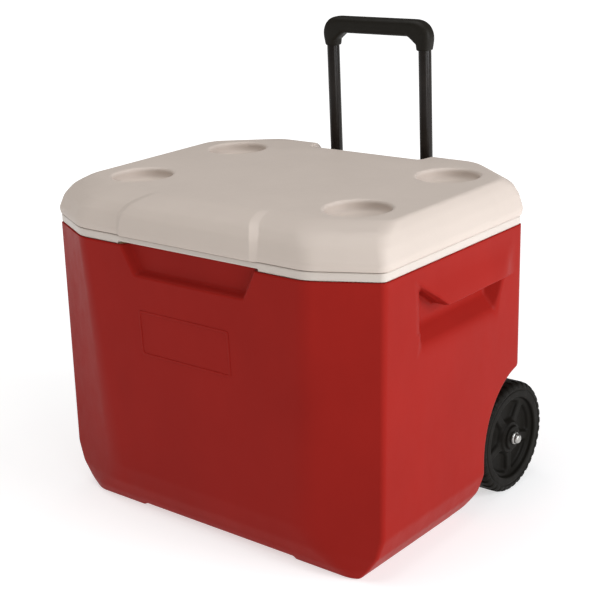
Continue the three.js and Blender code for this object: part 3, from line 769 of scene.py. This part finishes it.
# ---------------------------------------------------------------- handle
def grip(x, y, z):
    """Bar with full round elbows and a socket leg over each tube."""
    top, half = GRIP_HIGH[2], GRIP_HIGH[0]
    leg_end = GRIP_LOW[2] + 5
    inner = TUBE_X - 12.5
    ax = np.abs(x)
    deepest = 3.2
    taper = deepest * np.clip((leg_end + 24 - z) / 24, 0, 1) ** 1.5
    outer = smax(ax - half + taper, z - top, 30)
    lean = np.maximum(z - (top - 34), 0) * 1.15
    gap = every(4, ax - inner + lean - 1.5 * taper / deepest, z - (top - 24))
    d = smax(outer, -gap, 9)
    d = smax(d, np.abs(y - TUBE_Y) - (GRIP_HIGH[1] - GRIP_LOW[1]) / 2 + taper * 0.35, 9)
    d = smax(d, leg_end - z, 3)
    socket = smax(np.hypot(ax - TUBE_X, y - TUBE_Y) - TUBE_RADIUS - GAP, z - GRIP_SOCKET_TOP, 0.5)
    return smax(d, -socket, 1)


def bracket_field(low, high, floor):
    """Field of the bracket between two heights. floor is where its sleeve seats begin."""
    screws = [np.array(sum(span(f"bracket_screw_{i}"))) / 2 for i in (1, 3)]
    screw_z = next(s[2] for s in screws if low < s[2] < high)
    screw_x = 42

    def field(x, y, z):
        ax = np.abs(x)
        plate = every(2, ax - TUBE_X, CHANNEL_Y + GAP - y, y - CHANNEL_Y - 5.5)
        ring = np.hypot(ax - TUBE_X, y - TUBE_Y) - 16.5
        cheek = every(2, np.abs(ax - TUBE_X) - 14, CHANNEL_Y + GAP - y, y - TUBE_Y)
        rib = every(1.5, np.abs(z - (low + high) / 2) - 1.6, ax - TUBE_X, y - CHANNEL_Y - 11,
                    CHANNEL_Y + 1 - y)
        from_screw = np.hypot(ax - screw_x, z - screw_z)
        pad = from_screw - 6.5
        rib = smax(rib, -pad, 2)
        d = smin(smin(plate, smin(ring, cheek, 3), 5), rib, 2)
        d = every(2.5, d, z - high, low - z)
        seat = np.maximum(np.hypot(ax - TUBE_X, y - TUBE_Y) - SLEEVE_SEAT, floor - z)
        return smax(smax(d, -seat, 1), 2.5 - from_screw, 0.6)

    return field


def ear(x, y, z):
    """Hinge ear: foot on the rim, upright, round knuckle on the axis."""
    across = np.abs(x - HINGE_X) - (EAR_HIGH[0] - EAR_LOW[0]) / 2
    foot = every(1.5, HINGE[1] - EAR_DEPTH - y, y - EAR_HIGH[1], z - RIM_TOP - 3.5, RIM_TOP + GAP - z)
    upright = every(1.5, np.abs(y - HINGE[1]) - EAR_DEPTH, z - HINGE[2], RIM_TOP + GAP - z)
    knuckle = np.hypot(y - HINGE[1], z - HINGE[2]) - (EAR_HIGH[2] - HINGE[2])
    d = smax(smin(smin(foot, upright, 5), knuckle, 4), across, 2)
    d = smax(d, RIM_TOP + GAP - z, 0.6)
    d = smax(d, -(np.hypot(y - HINGE[1], z - HINGE[2]) - HINGE_PIN - GAP), 0.8)
    hole = np.hypot(np.abs(x - HINGE_X) - 8, y - 191.5) - 2.3
    return smax(d, -hole, 0.6)


# ---------------------------------------------------------------- wheels
def wheel(x, y, z):
    """Wheel about the joint's axis: lugged tread, plain side wall, five pockets round the hub."""
    across, up = y - AXLE[1], z - AXLE[2]
    rho = np.hypot(across, up)
    turn = np.arctan2(across, up)
    radius = (WHEEL_HIGH[2] - WHEEL_LOW[2]) / 2
    inner, outer = WHEEL_LOW[0], WHEEL_HIGH[0]
    tread_in = inner + 6.6
    middle = (tread_in + outer) / 2
    lugs = 38
    # grooves run in from each shoulder, those of one side between those of the other
    side = np.where(x > middle, 0.0, 0.5)
    wave = np.cos(turn * lugs + side * 2 * math.pi)
    groove = np.clip(wave * 1.6 + 0.1, 0, 1) * np.clip((np.abs(x - middle) - 4) / 4, 0, 1)
    tyre = every(9, rho - radius + 1.7 * groove, x - outer + 0.8, tread_in - x)
    tyre = smax(tyre, 58 - rho, 3)
    line = smax(np.abs(rho - 69) - 1.1, outer - 1.6 - x, 1)
    tyre = smax(tyre, -line, 1)
    web = every(2, rho - 62, x - outer + 7.5, tread_in + 9 - x)
    hub = every(2.5, rho - 17, x - outer, inner - x)
    boss = every(2, rho - 22, x - outer + 4.5, tread_in + 5 - x)
    d = smin(smin(tyre, web, 5), smin(boss, hub, 3), 5)
    fifth = 2 * math.pi / 5
    phase = np.abs((turn + fifth / 2) % fifth - fifth / 2)
    from_spoke = rho * np.sin(np.maximum(fifth / 2 - phase, 0))
    pocket = every(6, 6.5 - from_spoke, 25 - rho, rho - 52, outer - 13 - x)
    d = smax(d, -pocket, 3)
    ribs = every(2, np.abs(from_spoke) - 1.3, x - tread_in - 10, tread_in + 2 - x, rho - 60)
    d = smin(d, ribs, 1.5)
    return smax(d, AXLE_HOLE - rho, 0.8)


# ---------------------------------------------------------------- screws
def screw_mesh(name, length, head):
    """Pan-head screw along +Z with a cross recess; its seat is at height 0."""
    drop, dome_radius = (5.2, 7.6) if head > 3.5 else (2.6, 5.0)
    arm_half, arm_reach = 0.45, 1.7

    def field(x, y, z):
        rho = np.hypot(x, y)
        dome = np.sqrt(rho * rho + (z + drop) ** 2) - dome_radius
        cap = every(0.5, rho - head, dome, -z)
        shank = every(0.6, rho - 2, z - 1, -length - z)
        d = smin(cap, shank, 0.3)
        ax, ay = np.abs(x), np.abs(y)
        arms = np.minimum(np.maximum(ax - arm_half, ay - arm_reach),
                          np.maximum(ay - arm_half, ax - arm_reach))
        return smax(d, -smax(arms, 1.0 + 0.35 * rho - z, 0.2), 0.15)

    return moulded(name, field, (-head, -head, -length), (head, head, 2.4), 0.3, 9000, paired=False)


# ---------------------------------------------------------------- build
piece("body_shell_fine", moulded("shell", shell, SHELL_LOW, SHELL_HIGH, 2.2, 190000),
      "chest", "shell_red", "body_shell")
piece("front_plate_border", moulded(
    "plate_border", plate_border,
    (PLATE_MIDDLE[0] - PLATE_HALF[0], BODY_FRONT - 1, PLATE_MIDDLE[1] - PLATE_HALF[1]),
    (PLATE_MIDDLE[0] + PLATE_HALF[0], BODY_FRONT + 4, PLATE_MIDDLE[1] + PLATE_HALF[1]), 0.5, 24000,
    paired=False), "chest", "shell_red")
piece("inner_liner_fine", moulded("tub", tub, RIM_LOW, RIM_HIGH, 1.8, 130000),
      "chest", "liner_white", "inner_liner")
piece("lid_cover_fine", moulded("lid", lid, LID_LOW, LID_HIGH, 1.6, 180000),
      "lid", "lid_white", "lid_cover")
piece("lid_liner_fine", moulded("lid_panel", lid_panel, *span("lid_liner"), 1.8, 60000),
      "lid", "liner_white", "lid_liner")
piece("handle_grip_fine", moulded("grip", grip, GRIP_LOW, GRIP_HIGH, 0.9, 60000),
      "handle", "grip_black", "handle_grip")
for bracket in ("upper_bracket", "lower_bracket"):
    low, high = span(bracket)
    floor = low[2] + 3.7 if bracket == "lower_bracket" else low[2] - 10
    field = bracket_field(low[2], high[2], floor)
    piece(bracket + "_fine", moulded(bracket, field, low, high, 1.0, 30000), "chest", "trim_black", bracket)
both("hinge_ear", moulded("ear", ear, EAR_LOW, EAR_HIGH, 0.7, 14000, paired=False),
     "chest", "lid_white")
both("wheel", moulded("wheel", wheel, WHEEL_LOW, WHEEL_HIGH, 1.1, 110000, paired=False),
     "wheel_{}", "wheel_black")


def tube_profile(bore, radius, low, high):
    return [(bore, low), (radius, low), (radius, high), (bore, high)]


def rod_profile(radius, low, high):
    return [(0, low), (radius, low), (radius, high), (0, high)]


def upright_pair(node, profile, body, slot, reach=0.5):
    """A turned pair that stands on the tubes' axes."""
    both(node, copy_of(lathe(node, profile, reach), along("z", (TUBE_X, TUBE_Y, 0))), body, slot)


SLEEVE_LOW, SLEEVE_HIGH = span("handle_sleeve_right")
COLLAR_LOW, COLLAR_HIGH = span("sleeve_collar_right")
upright_pair("handle_tube", tube_profile(7.6, TUBE_RADIUS, TUBE_LOW[2], TUBE_HIGH[2]),
             "handle", "tube_black")
upright_pair("handle_sleeve", tube_profile(SLEEVE_BORE, SLEEVE_RADIUS, SLEEVE_LOW[2], SLEEVE_HIGH[2]),
             "chest", "tube_black")
upright_pair("sleeve_collar", [
    (SLEEVE_SEAT, COLLAR_LOW[2]), (15, COLLAR_LOW[2]), (15, COLLAR_HIGH[2]), (9.6, COLLAR_HIGH[2]),
    (9.6, SLEEVE_HIGH[2] + GAP), (SLEEVE_SEAT, SLEEVE_HIGH[2] + GAP),
], "chest", "trim_black", 1.2)


def axle_pair(node, profile, slot, reach):
    """A turned pair that sits on the axle."""
    both(node, copy_of(lathe(node, profile, reach), along("x", (0, AXLE[1], AXLE[2]))), "chest", slot)


NUT_LOW = span("push_nut_right")[0][0]
WASHER_LOW, WASHER_HIGH = span("outer_washer_right")
axle_pair("outer_washer", tube_profile(AXLE_HOLE, 8.5, WASHER_LOW[0], WASHER_HIGH[0]), "axle_steel", 0.25)
axle_pair("push_nut", [
    (0, NUT_LOW + 6.6), (5.1, NUT_LOW + 6.6), (5.1, NUT_LOW), (8.6, NUT_LOW), (8.6, NUT_LOW + 1.2),
    (7.0, NUT_LOW + 1.7), (6.9, NUT_LOW + 4.6), (5.2, NUT_LOW + 7.0), (0, NUT_LOW + 7.6),
], "axle_steel", 0.9)

RIVET_LOW, RIVET_HIGH = span("grip_rivet_right")
RIVET_COVER = 1.6            # of the grip's skin over each end of a rivet
rivet = lathe("rivet", rod_profile(2, RIVET_LOW[1] + RIVET_COVER, RIVET_HIGH[1] - RIVET_COVER), 0.6, 32)
both("grip_rivet", copy_of(rivet, along("y", (TUBE_X, 0, (RIVET_LOW[2] + RIVET_HIGH[2]) / 2))),
     "handle", "screw_steel")

PIN_LOW, PIN_HIGH = span("hinge_pin_right")
pin = lathe("pin", rod_profile(HINGE_PIN, PIN_LOW[0], PIN_HIGH[0]), 0.6, 40)
both("hinge_pin", copy_of(pin, along("x", (0, HINGE[1], HINGE[2]))), "lid", "screw_steel")

EAR_SCREW, BRACKET_SCREW = 9, 8.5      # lengths under the head
ear_screw = screw_mesh("ear_screw", EAR_SCREW, 3.2)
for i in (1, 2):
    low, high = span(f"hinge_screw_{i}_right")
    seat = Vector(((low[0] + high[0]) / 2, (low[1] + high[1]) / 2, low[2] + EAR_SCREW))
    place = Matrix.Translation(seat * MM)
    both(f"hinge_screw_{i}", copy_of(ear_screw, place), "chest", "screw_steel")
bracket_screw = screw_mesh("bracket_screw", BRACKET_SCREW, 4)
for i in (1, 2, 3, 4):
    low, high = span(f"bracket_screw_{i}")
    place = along("y", ((low[0] + high[0]) / 2, low[1] + BRACKET_SCREW, (low[2] + high[2]) / 2))
    piece(f"bracket_screw_{i}_fine", copy_of(bracket_screw, place),
          "chest", "screw_steel", f"bracket_screw_{i}")

# the pieces that stay out of sight keep their CAD shape and get their slot's material
SLOT_OF = {row["node"]: row["material_slot"] for row in frame["record"]["subparts"]}
for name, obj in frame["nodes"].items():
    obj.data.materials.clear()
    obj.data.materials.append(MATERIALS[SLOT_OF[name]])


# ---------------------------------------------------------------- floor, light and camera
def floor():
    """Pale sweep under the object."""
    mesh = bpy.data.meshes.new("floor")
    reach = 40
    corners = [(-reach, -reach, 0), (reach, -reach, 0), (reach, reach, 0), (-reach, reach, 0)]
    mesh.from_pydata(corners, [], [(0, 1, 2, 3)])
    obj = bpy.data.objects.new("floor", mesh)
    bpy.context.scene.collection.objects.link(obj)
    material, tree, shader, coords = new_material("pale_floor")
    shader.inputs["Base Color"].default_value = (0.6, 0.6, 0.6, 1)
    shader.inputs["Roughness"].default_value = 0.9
    shader.inputs["Specular IOR Level"].default_value = 0.0
    shader.inputs["Emission Color"].default_value = (1, 1, 1, 1)
    # the sweep glows a little more away from the object, so it stays an even white to its edge
    away = node(tree, "ShaderNodeVectorMath", operation="LENGTH")
    tree.links.new(coords, away.inputs[0])
    glow = ranged(tree, away.outputs["Value"], 0.58, 1.0, 0.5, 2.2)
    tree.links.new(glow, shader.inputs["Emission Strength"])
    mesh.materials.append(material)


def lamp(name, place, target, size, watts, colour=(1, 1, 1)):
    """Area light at a place in metres, aimed at a target."""
    light = bpy.data.lights.new(name, "AREA")
    light.shape = "RECTANGLE"
    light.size, light.size_y = size
    light.energy = watts
    light.color = colour
    obj = bpy.data.objects.new(name, light)
    obj.location = place
    aim = Vector(target) - Vector(place)
    obj.rotation_mode = "QUATERNION"
    obj.rotation_quaternion = aim.to_track_quat("-Z", "Y")
    bpy.context.scene.collection.objects.link(obj)


def world(strength):
    made = bpy.data.worlds.new("studio")
    made.use_nodes = True
    made.node_tree.nodes["Background"].inputs["Color"].default_value = (1, 0.985, 0.965, 1)
    made.node_tree.nodes["Background"].inputs["Strength"].default_value = strength
    bpy.context.scene.world = made


def camera():
    """Camera fitted to the photo, with the picture rolled a little."""
    azimuth, elevation, roll = math.radians(40), math.radians(18.1), math.radians(-2.57)
    back = Vector((math.sin(azimuth) * math.cos(elevation), -math.cos(azimuth) * math.cos(elevation),
                   math.sin(elevation)))
    right = Vector((math.cos(azimuth), math.sin(azimuth), 0))
    up = right.cross(-back)
    right, up = (right * math.cos(roll) + up * math.sin(roll),
                 up * math.cos(roll) - right * math.sin(roll))
    data = bpy.data.cameras.new("camera")
    data.lens, data.sensor_width = 81.8, 36
    data.clip_start, data.clip_end = 0.05, 200
    obj = bpy.data.objects.new("camera", data)
    turn = Matrix((right, up, back)).transposed().to_4x4()
    obj.matrix_world = Matrix.Translation((1.1739, -1.3937, 0.8733)) @ turn
    bpy.context.scene.collection.objects.link(obj)
    bpy.context.scene.camera = obj


floor()
world(0.17)
lamp("key", (2.8, 0.45, 1.2), (0, 0, 0.25), (1.4, 1.4), 60, (0.98, 1, 1.04))
lamp("front", (2.6, -1.3, 0.7), (0, 0, 0.3), (1.0, 1.0), 13)
lamp("top", (-0.3, -0.5, 2.6), (0, 0, 0.4), (2.4, 2.4), 42)
bpy.context.scene.view_settings.view_transform = "Standard"
camera()
